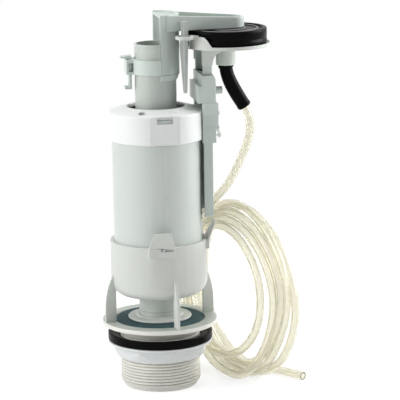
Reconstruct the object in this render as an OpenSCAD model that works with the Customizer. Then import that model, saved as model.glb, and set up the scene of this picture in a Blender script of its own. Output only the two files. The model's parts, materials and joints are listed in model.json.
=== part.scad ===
// Air-operated flush valve: threaded outlet, leg cage, canister, lift tube with seal,
// lift arm over an air bellows on an adjustable rail, and a clear air hose.
// Origin: centre of the outlet tail's bottom face. +Z up, the lift arm points along +X.

/* [Outlet tail] */
// Outside diameter of the threaded tail
tail_d = 59.6; // [50:0.1:70]
// Bore of the outlet
tail_bore_d = 49; // [36:0.5:50]
// Diameter of the throat under the seal
throat_d = 47.8; // [34:0.2:48]
// Length of the bore below the throat
bore_len = 40; // [30:0.5:44]
// Length of the tail below the flange
tail_h = 47; // [40:0.5:60]
// Diameter of the flange
flange_d = 86; // [80:0.5:100]
// Thickness of the flange
flange_t = 3.5; // [3:0.1:6]
// Width of the flange's rim round the recess that the seal sits in
rim_w = 9.5; // [8:0.1:12]
// Depth of the seal recess
recess_depth = 2; // [1.5:0.1:2.5]
// Height of the sealing lip in the recess
seat_lip_h = 0.6; // [0.4:0.1:1]
// Radial width of the sealing lip
seat_lip_w = 1.5; // [1:0.1:2]

/* [Washer and nut] */
// Outside diameter of the rubber washer and of the nut's collar
washer_d = 78; // [74:0.5:84]
// Thickness of the rubber washer
washer_t = 6.3; // [3:0.1:8]
// Height of the back nut with its collar
nut_h = 11.8; // [9:0.1:14]
// Thickness of the nut's collar
nut_collar_t = 1.8; // [1.2:0.1:3]
// Width across the nut's flats
nut_flats_w = 67; // [65:0.5:72]
// Height of the nut's lower face above the tail's end
nut_lift = 22.8; // [21:0.1:24]

/* [Leg cage] */
// Wall of the cup
cup_wall = 2.9; // [2:0.1:5]
// Height of the cup from its underside to its rim
cup_h = 41.4; // [30:0.2:60]
// Gap between the flange and the cup's underside
cage_gap = 19.1; // [18:0.1:24]
// Outer radius of the rounded lower edge of the cup
cup_corner_r = 11; // [6:0.5:14]
// Diameter of the opening in the cup's floor
cup_hole_d = 44; // [38:0.5:48]
// Number of legs
leg_count = 4; // [3:1:6]
// Thickness of a leg
leg_t = 2; // [1.5:0.1:5]
// Radial width of a leg at its foot
leg_foot_w = 8.6; // [6:0.1:8.8]
// Height of a leg on the cup's wall
leg_top_h = 17.5; // [8:0.5:25]
// Turn of the legs about the axis
leg_turn = 10; // [-20:1:20]
// Width of a release tab at the rim
tab_w = 19.6; // [12:0.2:24]
// Width of a release tab at its tip
tab_tip_w = 11; // [6:0.2:14]
// Height of a release tab above the rim
tab_h = 12; // [6:0.2:16]
// Distance of a release tab's tip inside the flange's edge
tab_inset = 0.6; // [0:0.1:4]
// Turn of the release tabs about the axis
tab_turn = -5; // [-15:1:15]
// Thickness of a release tab
tab_t = 1.5; // [1:0.1:3]

/* [Canister and cap] */
// Outside diameter of the canister
canister_d = 66; // [60:0.5:68]
// Wall of the canister
canister_wall = 2; // [1.2:0.1:3]
// Height of the canister
canister_h = 132.3; // [120:0.1:145]
// Thickness of the canister's floor
canister_floor_t = 2.5; // [2:0.1:4]
// Height of the guide sleeve inside the canister
guide_h = 20; // [10:0.5:25]
// Wall of the guide sleeve
guide_wall = 2.2; // [1.5:0.1:4]
// Wall of the cap's skirt
cap_wall = 2.3; // [2.1:0.1:4]
// Height of the cap's skirt
cap_skirt_h = 21.4; // [15:0.1:30]
// Rise of the cap's sloping top
cap_rise = 3.5; // [1:0.1:5]
// Thickness of the cap's top
cap_top_t = 2.9; // [2:0.1:4]
// Diameter of the opening in the cap
cap_hole_d = 42; // [40:0.5:50]
// Depth of the cap's flats
cap_flat_depth = 1.8; // [0.6:0.1:1.9]
// Turn of the cap about the axis
cap_turn = 2; // [-10:1:10]
// Width of the window in the cap's flat
window_w = 12; // [6:0.2:14]
// Height of the window in the cap's flat
window_h = 4.4; // [2:0.1:8]
// Diameter of the vent in the cap's top
vent_d = 6; // [3:0.1:7]

/* [Lift tube and seal] */
// Outside diameter of the lift tube
tube_d = 30.6; // [26:0.2:32]
// Wall of the lift tube
tube_wall = 1.8; // [1.2:0.1:3]
// Height of the tube's mouth above the tail's end
tube_top = 257; // [252:0.5:262]
// Gap between the seal and the wall of its recess
seal_clear = 0.8; // [0.5:0.1:3]
// Thickness of the seal
seal_t = 1.5; // [1:0.1:2.5]
// Diameter of the plate above the seal
plate_d = 47.6; // [40:0.2:52]
// Thickness of the plate above the seal
plate_t = 1.8; // [1.2:0.1:3]
// Radial width of the plate's hub
plate_hub_w = 2.2; // [1.5:0.1:4]
// Height of the plate's hub
plate_hub_h = 3; // [2:0.1:5]
// Diameter of the retainer below the seal
retainer_d = 42; // [38:0.5:46]
// Height of the retainer below the seal
retainer_h = 3.4; // [2:0.1:4]
// Gap between the delay float and the canister's wall
float_clear = 1.5; // [1:0.1:4]
// Wall of the delay float
float_wall = 2; // [1.2:0.1:3]
// Height of the delay float
float_h = 48; // [30:1:60]
// Gap between the guide sleeve and the float
float_gap = 8; // [3:0.5:20]

/* [Lift arm] */
// Wall of the arm's sleeve on the tube
sleeve_wall = 2.4; // [1.8:0.1:3.5]
// Height of the sleeve's lower end below the tube's mouth
sleeve_drop = 26.5; // [20:0.5:32]
// Height of the collar round the tube
collar_h = 11; // [8:0.2:14]
// Distance of the collar's upper edge below the tube's mouth
collar_drop = 11; // [6:0.2:14]
// Wall of the collar
collar_wall = 2.3; // [1.5:0.1:3]
// Height of the arm's trough at the sleeve
arm_h = 12; // [9:0.2:16]
// Height of the trough's underside above the tube's mouth
arm_rise = 10; // [8:0.2:14]
// Distance from the tube's axis to the arm's nose
arm_reach = 66.5; // [58:0.5:76]
// Radius of the arm's nose
nose_r = 9.5; // [6:0.5:12]
// Height lost by the arm's rim at its nose
arm_fall = 4.6; // [0:0.2:6]
// Wall of the trough
arm_wall = 2; // [1.4:0.1:3]
// Thickness of the guide rod's blades
rod_t = 1.8; // [1.2:0.1:3]
// Width of the guide rod's front blade at its widest
rod_w = 6.4; // [4:0.2:7]
// Width of the guide rod at its lower end
rod_tip_w = 2.8; // [2:0.2:4]
// Height of the guide rod's upper end above the arm's underside
rod_rise = 7.4; // [5:0.2:9]
// Length of the guide rod
rod_len = 52; // [44:1:56]
// Distance of the guide rod in front of the tube's axis
rod_y = 21; // [20:0.5:24]
// Distance of the guide rod beside the tube's axis
rod_x = 18.5; // [16:0.5:20]

/* [Clamp key] */
// Thickness of the clamp key
key_t = 2; // [1.2:0.1:3]
// Width of the clamp key
key_w = 7; // [4:0.2:9]
// Length of the key's shank below the collar's upper edge
key_len = 22; // [20:0.5:23]
// Reach of the key's thumb tab
key_tab_len = 8; // [4:0.2:10]
// Reach of the key's hook
key_hook_len = 5.2; // [2:0.2:7]
// Wall of the pocket that holds the key
pocket_wall = 2; // [1.4:0.1:3]

/* [Rail and bracket] */
// Gap between the cap and the rail's open edges
rail_clear = 1.07; // [1:0.01:4]
// Depth of the rail's channel
rail_depth = 6.8; // [5:0.1:9]
// Width of the rail
rail_w = 33; // [33:0.5:40]
// Wall of the rail
rail_t = 2; // [1.4:0.1:2]
// Length of the rail
rail_len = 125; // [90:1:130]
// Wall of the bracket round the rail
bracket_wall = 2; // [1.5:0.1:3]
// Height of the bracket's part beside the cap
bracket_low_h = 29.5; // [24:0.5:31]
// How far the bracket reaches below the cap
bracket_drop = 2.2; // [0:0.1:4]
// Height of the bracket's part above the cap
bracket_top_h = 20.5; // [14:0.5:22]
// Outward step of the bracket's middle part
bracket_step = 1.6; // [1:0.1:2.5]
// Height of the clamp screw above the bracket's part beside the cap
screw_rise = 6.6; // [5:0.2:9]
// Diameter of the clamp screw's knob
knob_d = 5.6; // [4.5:0.1:6.5]
// Length of the clamp screw's knob
knob_len = 6; // [4:0.2:8]
// Diameter of the clamp screw's shank
screw_d = 3.6; // [2.5:0.1:4]
// Diameter of the catch's pin
catch_pin_d = 2; // [1.6:0.1:2.4]
// Width of the catch
catch_w = 8; // [5:0.5:12]
// Wall of the catch and of its ears round the pin
catch_wall = 1; // [0.8:0.1:1.4]
// Length of the catch below its pin
catch_len = 8.6; // [6:0.2:9]

/* [Tray] */
// Gap between the lift arm's sleeve and the tray
tray_clear = 1.75; // [1:0.05:3]
// Diameter of the tray
tray_d = 66; // [65:0.5:70]
// Thickness of the tray
tray_t = 1.6; // [1.2:0.1:2.4]
// Height of the tray's side walls
wall_h = 8; // [5:0.2:9]
// Thickness of the tray's side walls
wall_t = 1.8; // [1.2:0.1:1.8]
// Diameter of the hose boss
boss_d = 14.6; // [12:0.2:16]
// Gap between the rail and the hose boss
boss_clear = 6; // [5.5:0.1:8]
// Height of the hose boss
boss_h = 14.4; // [10:0.2:18]
// Thickness of the lug that guides the rod
lug_t = 2.4; // [1.6:0.1:3]
// Distance of the lug's underside below the arm
lug_drop = 5.4; // [5:0.1:6.5]
// Diameter of the lug's eye
eye_d = 8.8; // [8.6:0.1:9.4]
// Wall of the lug's eye
eye_wall = 2.3; // [1.5:0.1:3]

/* [Bellows] */
// Gap between the bellows and the tray's side walls
bellows_clear = 0.7; // [0.4:0.1:2]
// Height of the bellows at rest
bellows_h = 11.4; // [10:0.1:12]
// Depth of the fold round the bellows
fold_depth = 0.7; // [0.4:0.1:1.5]
// Wall of the bellows
bellows_wall = 1.6; // [1:0.1:2.5]
// Depth of the rings sunk in the bellows' top
bellows_ring_h = 0.9; // [0.5:0.1:1.5]

/* [Air hose] */
// Outside diameter of the hose
hose_d = 6.2; // [5:0.1:6.4]
// Outside diameter of the rubber sleeve
sock_d = 9.4; // [8:0.1:10]
// Diameter of the lip at the rubber sleeve's upper end
sock_lip_d = 11.4; // [10:0.1:12]
// Straight length above the rubber sleeve's bend
sock_neck = 6; // [4:0.5:8]
// Bend of the rubber sleeve
sock_bend = 34; // [20:1:40]
// Radius of the rubber sleeve's bend
sock_bend_r = 20; // [16:1:30]
// Straight length below the rubber sleeve's bend
sock_len = 17.5; // [10:0.5:24]
// Outside diameter of the standing coil
coil_d = 133; // [120:1:140]
// Radial thickness of the coil
coil_t = 12; // [8:0.5:18]
// Width of the coil
coil_w = 23.5; // [20:0.5:23.5]

/* [Fits] */
// Clearance between separate pieces
gap = 0.3; // [0.2:0.05:0.5]
// Radial clearance of a running fit
run_fit = 0.05; // [0.02:0.01:0.08]
// Radial clearance of a pushed-together fit
push_fit = 0.1; // [0.05:0.01:0.15]

/* [Hidden] */
$fn = 96;
// Overrun of a cutting shape past the face that it cuts
cut = 1;
// Bevel of a moulded edge, and the depth by which joined shapes run into each other
edge = 0.8;
// Thickness of the catch's ears
ear_t = 2;
// Depth of a straight side inside the tangent of the round that it meets
tangent_dip = 0.05;

// Levels, from the tail's end upwards
flange_top = tail_h + flange_t;
recess_floor = flange_top - recess_depth;
seat_top = recess_floor + seat_lip_h;
nut_top = nut_lift + nut_h;
recess_d = flange_d - 2 * rim_w;
seal_d = recess_d - 2 * seal_clear;
cup_bore_r = canister_d / 2 + push_fit;
cup_r = cup_bore_r + cup_wall;
cup_z = flange_top + cage_gap;
cup_rim = cup_z + cup_h;
canister_z = cup_z + cup_wall;
canister_top = canister_z + canister_h;
guide_top = canister_z + canister_floor_t + guide_h;
cap_edge_z = canister_top + cap_top_t;
cap_z = cap_edge_z - cap_skirt_h;
cap_top = cap_edge_z + cap_rise;
seal_z = seat_top + gap;
plate_z = seal_z + seal_t;
retainer_z = seal_z - retainer_h;
float_z = guide_top + float_gap;
collar_top = tube_top - collar_drop;
collar_z = collar_top - collar_h;
arm_z = tube_top + arm_rise;
arm_top = arm_z + arm_h;
sleeve_z = tube_top - sleeve_drop;

// The bellows fills the space between the tray and the arm
bellows_top = arm_z - gap;
bellows_z = bellows_top - bellows_h;
tray_top = bellows_z - gap;
tray_z = tray_top - tray_t;
boss_z = tray_z - boss_h;
rail_z = tray_z - rail_len;
lug_z = arm_z - lug_drop;
lug_top = lug_z + lug_t;
rod_top = arm_z + rod_rise;
rod_z = rod_top - rod_len;

bellows_d = tray_d - 2 * (wall_t + bellows_clear);

// Start of the tray's side walls, as an angle about the tray's centre from the tube's side
heel_angle = 28;

// Radii of the tube's fits
tube_r = tube_d / 2;
arm_bore_r = tube_r + run_fit;
arm_r = arm_bore_r + sleeve_wall;
collar_r = arm_bore_r + collar_wall;
cap_r = canister_d / 2 + push_fit + cap_wall;
cap_flat_r = cap_r - cap_flat_depth;
float_d = canister_d - 2 * (canister_wall + float_clear);

// The rail, the slot round it and the bracket's outline
rail_x = sqrt(pow(cap_r, 2) - pow(rail_w / 2, 2)) + rail_clear;
rail_back = rail_x + rail_depth;
bracket_x = rail_back + gap + bracket_wall;
bracket_w = rail_w + 2 * (gap + bracket_wall);
bracket_z = cap_z - bracket_drop;
bracket_mid = bracket_z + bracket_low_h;
bracket_top = bracket_mid + bracket_top_h;
bracket_foot_x = rail_x - cut;
screw_z = bracket_mid + screw_rise;
catch_barrel_r = catch_pin_d / 2 + catch_wall;
catch_x = bracket_x + catch_barrel_r + 2 * gap;
catch_z = bracket_z + catch_len + 2 * gap;

// The tray's centre, where the tray clears the lift arm and its boss clears the rail
tray_x = max(arm_r + tray_clear + tray_d / 2, rail_back + boss_clear + boss_d / 2);

// The clamp key beside the collar
key_x = collar_r + gap;
pocket_x = key_x + key_t + gap + pocket_wall;
key_hook_t = 2;
key_tab_t = 2.6;
key_z = collar_top - key_len;

// The rubber sleeve on the boss's spigot
sock_top = boss_z - gap;
spigot_d = 5;
air_d = 3;
sock_end_x = tray_x + sock_bend_r * (1 - cos(sock_bend)) + sock_len * sin(sock_bend);
sock_end_z = sock_top - sock_neck - sock_bend_r * sin(sock_bend) - sock_len * cos(sock_bend);
hose_start = [sock_end_x, 0, sock_end_z];

// The standing coil: its place, and a point along, across and above its lowest point
coil_r = coil_d / 2;
coil_x = 56;
coil_y = 10.2;
coil_turn = -64;
function by_coil(u, n, z) =
    [coil_x + u * cos(coil_turn) - n * sin(coil_turn), coil_y + u * sin(coil_turn) + n * cos(coil_turn), z];

// The lead bows out from the straight line between the sleeve and the coil: share of the way, then X and Y
lead_turn = 102;
lead_lane = -3.6;
lead_r = coil_r + hose_d / 2 + gap;
lead_end = by_coil(lead_r * cos(lead_turn), lead_lane, coil_r + lead_r * sin(lead_turn));
lead_bow = [[0.056, 3.9, -1.2], [0.148, 7, -1.7], [0.24, 9.2, -2.2], [0.361, 10.1, -2.8], [0.494, 9.2, -3.2],
    [0.647, 7.4, -3], [0.803, 4.2, -1.9], [0.913, 2.1, -1.2], [1, 0, 0]];
lead_route = [for (b = lead_bow) hose_start + b[0] * (lead_end - hose_start) + [b[1], b[2], 0]];

// The free end leaves the coil's side and lies on the floor: place along the coil, then out from its side
hose_z = hose_d / 2 + gap;
tail_bends = [[1, 0], [1, 5], [5.5, 10.6], [13.8, 14.4], [22.4, 16.3], [35.6, 17.8], [48.7, 18.5]];
tail_route = [for (b = tail_bends) by_coil(b[0], coil_w / 2 + gap + b[1], hose_z)];

// Ring between two radii, standing on z
module ring(outer_r, inner_r, h, z) {
    translate([0, 0, z])
    difference() {
        cylinder(r = outer_r, h = h);
        translate([0, 0, -cut])
        cylinder(r = inner_r, h = h + 2 * cut);
    }
}

// Outline in X and Z, extruded across Y and centred on it
module across(w) {
    rotate([90, 0, 0])
    linear_extrude(height = w, center = true)
    children();
}

// Box centred on Y, from one X to another
module block(x0, x1, w, z0, z1) {
    translate([x0, -w / 2, z0])
    cube([x1 - x0, w, z1 - z0]);
}

// Plan of two circles on the X axis with straight sides just inside their common tangents
module tapered_plan(r1, r2, x2) {
    lean = asin((r1 - r2) / x2);
    near = r1 - tangent_dip;
    far = r2 - tangent_dip;
    circle(r = r1);
    translate([x2, 0])
    circle(r = r2);
    polygon([
        [near * sin(lean), near * cos(lean)],
        [x2 + far * sin(lean), far * cos(lean)],
        [x2 + far * sin(lean), -far * cos(lean)],
        [near * sin(lean), -near * cos(lean)]
    ]);
}

// U-shaped plan of the rail, grown by a clearance
module rail_plan(grow) {
    difference() {
        translate([rail_x - grow, -rail_w / 2 - grow])
        square([rail_depth + 2 * grow, rail_w + 2 * grow]);
        translate([rail_x - grow - cut, -rail_w / 2 + rail_t + grow])
        square([rail_depth + cut - rail_t, rail_w - 2 * (rail_t + grow)]);
    }
}

// Tube swept along a route of points, as one closed solid with a ring of sides at each point
function unit(v) = v / norm(v);
function heading(route, i) =
    unit(route[min(i + 1, len(route) - 1)] - route[max(i - 1, 0)]);
function side_of(d) = unit(cross(d, abs(d[1]) > 0.9 ? [1, 0, 0] : [0, 1, 0]));
function rim_point(c, d, r, a) =
    c + r * (cos(a) * side_of(d) + sin(a) * cross(d, side_of(d)));
module swept_tube(route, d, sides) {
    last = len(route) - 1;
    points = [for (i = [0:last], k = [0:sides - 1])
        rim_point(route[i], heading(route, i), d / 2, k * 360 / sides)];
    skin = [for (i = [0:last - 1], k = [0:sides - 1])
        [i * sides + k, i * sides + (k + 1) % sides,
        (i + 1) * sides + (k + 1) % sides, (i + 1) * sides + k]];
    start_cap = [[for (k = [0:sides - 1]) sides - 1 - k]];
    end_cap = [[for (k = [0:sides - 1]) last * sides + k]];
    polyhedron(points = points, faces = concat(skin, start_cap, end_cap), convexity = 6);
}

// Threaded outlet with its flange and the seat for the seal
module outlet_tail() {
    end_chamfer = 2.4;
    end_chamfer_h = 4;
    bore_r = tail_bore_d / 2;
    throat_r = throat_d / 2;
    color("gainsboro")
    rotate_extrude()
    polygon([
        [bore_r, 0],
        [tail_d / 2 - end_chamfer, 0],
        [tail_d / 2, end_chamfer_h],
        [tail_d / 2, tail_h],
        [flange_d / 2 - edge, tail_h],
        [flange_d / 2, tail_h + edge],
        [flange_d / 2, flange_top - edge],
        [flange_d / 2 - edge, flange_top],
        [recess_d / 2, flange_top],
        [recess_d / 2, recess_floor],
        [throat_r + seat_lip_w, recess_floor],
        [throat_r + seat_lip_w - edge / 2, seat_top],
        [throat_r, seat_top],
        [throat_r, bore_len],
        [bore_r, bore_len]
    ]);
}

// One leg: a fin whose outer edge curves from the flange's rim into the cup's wall
module leg() {
    foot_out = flange_d / 2 - edge / 4;
    foot_r = foot_out - leg_foot_w;
    leg_top = cup_z + leg_top_h;
    root_r = cup_r - 1.5 * edge;
    crest_r = cup_r - edge / 2;
    inner_r = min(foot_r, root_r);
    inner_run = max(0, inner_r - cup_r + cup_corner_r);
    inner_top = cup_z + cup_corner_r - sqrt(pow(cup_corner_r, 2) - pow(inner_run, 2)) + edge;
    curve = 3.2;
    steps = 12;
    outside = [for (i = [0:steps])
        let (t = i / steps)
        [crest_r + (foot_out - crest_r) * (1 - pow(t, curve)), flange_top + t * (leg_top - flange_top)]];
    across(leg_t)
    polygon(concat(
        [[root_r, leg_top], [root_r, cup_z + cup_corner_r], [inner_r, inner_top], [foot_r, flange_top]],
        outside
    ));
}

// Release tab on the cup's rim: a raised pad with a finger that leans outwards
module release_tab() {
    pad_h = 7.2;
    slot_h = 1.2;
    slot_hole_d = 2;
    root_r = cup_r * cos(asin(tab_w / 2 / cup_r)) - edge;
    face_r = cup_r + tab_t - edge / 2;
    pad_z = cup_rim - pad_h;
    sill = cup_rim - edge / 2;
    tip = cup_rim + tab_h;
    tip_r = flange_d / 2 - tab_inset;
    difference() {
        intersection() {
            rotate([0, 0, -90])
            across(tab_w)
            polygon([
                [root_r, pad_z],
                [face_r, pad_z],
                [face_r, cup_rim],
                [tip_r, tip],
                [tip_r - tab_t, tip],
                [face_r - tab_t, sill],
                [root_r, sill]
            ]);
            translate([0, -cup_r, 0])
            across(cup_r)
            polygon([
                [-tab_w / 2, pad_z - cut],
                [tab_w / 2, pad_z - cut],
                [tab_w / 2, cup_rim],
                [tab_tip_w / 2 + edge, tip + cut],
                [-tab_tip_w / 2, tip + cut],
                [-tab_w / 2, cup_rim]
            ]);
        }
        translate([slot_hole_d, -face_r, cup_rim - 2 * slot_h])
        cube([tab_w, tab_t, slot_h]);
        translate([0, -face_r, cup_rim - slot_h])
        rotate([90, 0, 0])
        cylinder(d = slot_hole_d, h = 2 * tab_t, center = true, $fn = 32);
    }
}

// Half section of a cup with a rounded lower edge, filled
module cup_half(r, z, corner) {
    translate([0, z])
    square([r - corner, cup_rim - z]);
    translate([0, z + corner])
    square([r, cup_rim - z - corner]);
    translate([r - corner, z + corner])
    circle(r = corner);
}

// Legs and the cup that they carry
module leg_cage() {
    color("gainsboro") {
        rotate_extrude()
        difference() {
            cup_half(cup_r, cup_z, cup_corner_r);
            translate([0, cut])
            cup_half(cup_bore_r, canister_z - cut, cup_corner_r - cup_wall);
            translate([0, cup_z - cut])
            square([cup_hole_d / 2, cup_h]);
        }
        for (i = [0:leg_count - 1])
        rotate([0, 0, -90 + leg_turn + i * 360 / leg_count])
        leg();
        for (i = [0:2])
        rotate([0, 0, i * 90 + tab_turn])
        release_tab();
    }
}

// Rubber washer that seals on the cistern's floor
module sealing_washer() {
    foot_z = nut_top + gap;
    lip_z = foot_z + washer_t;
    lip_w = 1.4;
    dish = 2.8;
    color("black")
    rotate_extrude()
    polygon([
        [tail_d / 2 + gap, foot_z],
        [washer_d / 2, foot_z],
        [washer_d / 2, lip_z],
        [washer_d / 2 - lip_w, lip_z],
        [tail_d / 2 + gap, lip_z - dish]
    ]);
}

// Back nut: round collar over an eight-sided body that narrows downwards
module back_nut() {
    flats = 8;
    flats_turn = 10;
    foot_wall = 2.6;
    body_r = nut_flats_w / 2 / cos(180 / flats);
    color("whitesmoke")
    difference() {
        union() {
            translate([0, 0, nut_top - nut_collar_t])
            cylinder(d = washer_d, h = nut_collar_t);
            intersection() {
                translate([0, 0, nut_lift])
                rotate([0, 0, flats_turn])
                cylinder(r = body_r, h = nut_h - nut_collar_t + edge, $fn = flats);
                translate([0, 0, nut_lift])
                cylinder(r1 = tail_d / 2 + foot_wall, r2 = washer_d / 2 - edge, h = nut_h);
            }
        }
        translate([0, 0, nut_lift - cut])
        cylinder(r = tail_d / 2 + gap, h = nut_h + 2 * cut);
    }
}

// Canister with the sleeve that guides the lift tube and its drain openings
module canister() {
    guide_bore_r = tube_r + run_fit;
    drain_count = 6;
    drain_d = 3.6;
    drain_r = guide_bore_r + guide_wall + drain_d / 2 + edge;
    inner_r = canister_d / 2 - canister_wall;
    color("lightgray")
    difference() {
        rotate_extrude()
        polygon([
            [guide_bore_r, canister_z],
            [canister_d / 2 - cup_corner_r + edge, canister_z],
            [canister_d / 2, canister_z + cup_corner_r],
            [canister_d / 2, canister_top],
            [inner_r, canister_top],
            [inner_r, canister_z + cup_corner_r + canister_floor_t],
            [canister_d / 2 - cup_corner_r, canister_z + canister_floor_t],
            [guide_bore_r + guide_wall, canister_z + canister_floor_t],
            [guide_bore_r + guide_wall, guide_top],
            [guide_bore_r, guide_top]
        ]);
        for (i = [0:drain_count - 1])
        rotate([0, 0, i * 360 / drain_count])
        translate([drain_r, 0, canister_z - cut])
        cylinder(d = drain_d, h = canister_floor_t + 2 * cut, $fn = 48);
    }
}

// Cap with two flats, a window, a vent and a seat for the bracket
module canister_cap() {
    skirt_r = canister_d / 2 + push_fit;
    flat_cut = 10;
    vent_inset = 7.2;
    vent_turn = -29.5;
    window_drop = 1;
    nub_d = 3;
    nub_inset = 6.2;
    nub_turn = 20.5;
    color("white") {
        difference() {
            rotate_extrude()
            polygon([
                [skirt_r, cap_z],
                [cap_r - edge, cap_z],
                [cap_r, cap_z + edge],
                [cap_r, cap_edge_z - edge],
                [cap_r - edge, cap_edge_z],
                [cap_hole_d / 2 + edge, cap_top],
                [cap_hole_d / 2, cap_top - edge],
                [cap_hole_d / 2, cap_top - cap_top_t],
                [canister_d / 2 - canister_wall, canister_top],
                [skirt_r, canister_top]
            ]);
            for (side = [-90, 90])
            rotate([0, 0, cap_turn + side])
            translate([cap_flat_r, -cap_r, cap_z - cut])
            cube([flat_cut, 2 * cap_r, cap_skirt_h + 2 * cut]);
            rotate([0, 0, cap_turn])
            translate([-window_w / 2, -cap_r - cut, cap_edge_z - window_drop - window_h])
            cube([window_w, cap_r - skirt_r + 2 * cut, window_h]);
            rotate([0, 0, vent_turn])
            translate([0, vent_inset - cap_r, canister_top - cap_top_t])
            cylinder(d = vent_d, h = cap_rise + 3 * cap_top_t, $fn = 48);
        }
        rotate([0, 0, nub_turn])
        translate([0, nub_inset - cap_r, cap_edge_z])
        cylinder(d = nub_d, h = cap_rise - edge, $fn = 32);
    }
}

// Lift tube, which also takes the overflow
module overflow_tube() {
    color("lightgray")
    ring(tube_r, tube_r - tube_wall, tube_top - retainer_z, retainer_z);
}

// Float that holds the tube up while the canister drains
module delay_float() {
    color("whitesmoke")
    difference() {
        ring(float_d / 2, tube_r + push_fit, float_h, float_z);
        translate([0, 0, float_z - cut])
        difference() {
            cylinder(r = float_d / 2 - float_wall, h = float_h - float_wall + cut);
            cylinder(r = tube_r + push_fit + float_wall, h = float_h + cut);
        }
    }
}

// Plate that holds the seal on the tube
module seal_plate() {
    color("gainsboro")
    rotate_extrude()
    polygon([
        [tube_r + push_fit, plate_z],
        [plate_d / 2 - edge, plate_z],
        [plate_d / 2, plate_z + edge],
        [plate_d / 2 - edge, plate_z + plate_t],
        [tube_r + plate_hub_w, plate_z + plate_t],
        [tube_r + plate_hub_w - edge, plate_z + plate_hub_h],
        [tube_r + push_fit, plate_z + plate_hub_h]
    ]);
}

// Flush seal
module flush_seal() {
    color("darkslategray")
    rotate_extrude()
    polygon([
        [tube_r + push_fit, seal_z],
        [seal_d / 2 - edge / 2, seal_z],
        [seal_d / 2, seal_z + edge / 2],
        [seal_d / 2 - edge / 2, seal_z + seal_t],
        [tube_r + push_fit, seal_z + seal_t]
    ]);
}

// Ring under the seal, on the tube's lower end
module seal_retainer() {
    color("gainsboro")
    rotate_extrude()
    polygon([
        [tube_r + push_fit, retainer_z],
        [tube_r + 2 * edge, retainer_z],
        [retainer_d / 2, seal_z - 2 * edge],
        [retainer_d / 2, seal_z],
        [tube_r + push_fit, seal_z]
    ]);
}

// Half-round sleeve on the tube, open towards -X, closed at its top
module arm_sleeve() {
    open_x = 1.2;
    crown_t = 1.6;
    crown_drop = 1;
    lower_h = 5;
    difference() {
        union() {
            translate([0, 0, sleeve_z + lower_h])
            cylinder(r = arm_r, h = arm_top - sleeve_z - lower_h);
            translate([0, 0, sleeve_z])
            cylinder(r1 = arm_bore_r + edge, r2 = arm_r, h = lower_h);
        }
        translate([0, 0, sleeve_z - cut])
        cylinder(r = arm_bore_r, h = arm_top - crown_drop - crown_t - sleeve_z + cut);
        translate([0, 0, arm_top - crown_drop])
        cylinder(r = arm_bore_r, h = crown_drop + cut);
        translate([open_x - 2 * arm_r, -arm_r - cut, sleeve_z - cut])
        cube([2 * arm_r, 2 * arm_r + 2 * cut, arm_top - sleeve_z + 2 * cut]);
    }
}

// Open-topped trough from the sleeve to the round nose, its rim falling towards the nose
module arm_trough() {
    nose_x = arm_reach - nose_r;
    floor_t = 1.8;
    open_x = 6;
    fall = atan(arm_fall / arm_reach);
    difference() {
        translate([0, 0, arm_z])
        linear_extrude(height = arm_h)
        tapered_plan(arm_r, nose_r, nose_x);
        translate([0, 0, arm_z + floor_t])
        linear_extrude(height = arm_h)
        tapered_plan(arm_r - arm_wall, nose_r - arm_wall, nose_x);
        translate([0, 0, arm_z - cut])
        cylinder(r = arm_r - edge, h = arm_h + 2 * cut);
        translate([-2 * arm_r, -arm_r - cut, arm_z - cut])
        cube([2 * arm_r + open_x, 2 * arm_r + 2 * cut, arm_h + 2 * cut]);
        translate([0, -arm_r - cut, arm_top])
        rotate([0, fall, 0])
        cube([2 * arm_reach, 2 * arm_r + 2 * cut, arm_h]);
    }
}

// Collar round the tube with the open pocket that holds the clamp key
module arm_collar() {
    pocket_w = key_w + 2 * (gap + pocket_wall);
    shelf_t = 2;
    strap_t = 2.6;
    ring(collar_r, arm_bore_r, collar_h, collar_z);
    difference() {
        union() {
            block(-pocket_x, -arm_bore_r - edge, pocket_w, collar_z, collar_z + shelf_t);
            block(-pocket_x, -arm_bore_r - edge, pocket_w, collar_top - strap_t, collar_top);
            block(-pocket_x, -pocket_x + pocket_wall, pocket_w, collar_z, collar_top);
        }
        translate([0, 0, collar_z - cut])
        cylinder(r = arm_bore_r + collar_wall / 2, h = collar_h + 2 * cut);
        block(-key_x - key_t - gap, -key_x + gap, key_w + 2 * gap, collar_z - cut, collar_top + cut);
    }
}

// Lift arm, one moulding
module lift_arm() {
    color("lightgray") {
        arm_sleeve();
        arm_trough();
        arm_collar();
    }
}

// Guide rod: two crossed blades, tapering downwards, on a web against the arm
module guide_rod() {
    shoulder_drop = 4;
    shoulder_z = lug_z - shoulder_drop;
    neck_w = 5;
    web_z = arm_z + edge;
    color("whitesmoke")
    difference() {
        union() {
            translate([rod_x, -rod_y, 0])
            across(rod_t)
            polygon([
                [-rod_tip_w / 2, rod_z],
                [rod_tip_w / 2, rod_z],
                [neck_w / 2, shoulder_z],
                [neck_w / 2, rod_top],
                [-neck_w / 2, rod_top],
                [-neck_w / 2, lug_top + edge],
                [neck_w / 2 - rod_w, shoulder_z]
            ]);
            translate([rod_x - rod_t / 2, -rod_y - rod_tip_w / 2, rod_z])
            cube([rod_t, rod_tip_w, rod_len]);
            translate([rod_x - rod_t / 2, -rod_y, web_z])
            cube([rod_t, rod_y, rod_top - web_z]);
        }
        translate([0, 0, arm_z])
        linear_extrude(height = arm_h + cut)
        tapered_plan(arm_r, nose_r, arm_reach - nose_r);
    }
}

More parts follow.
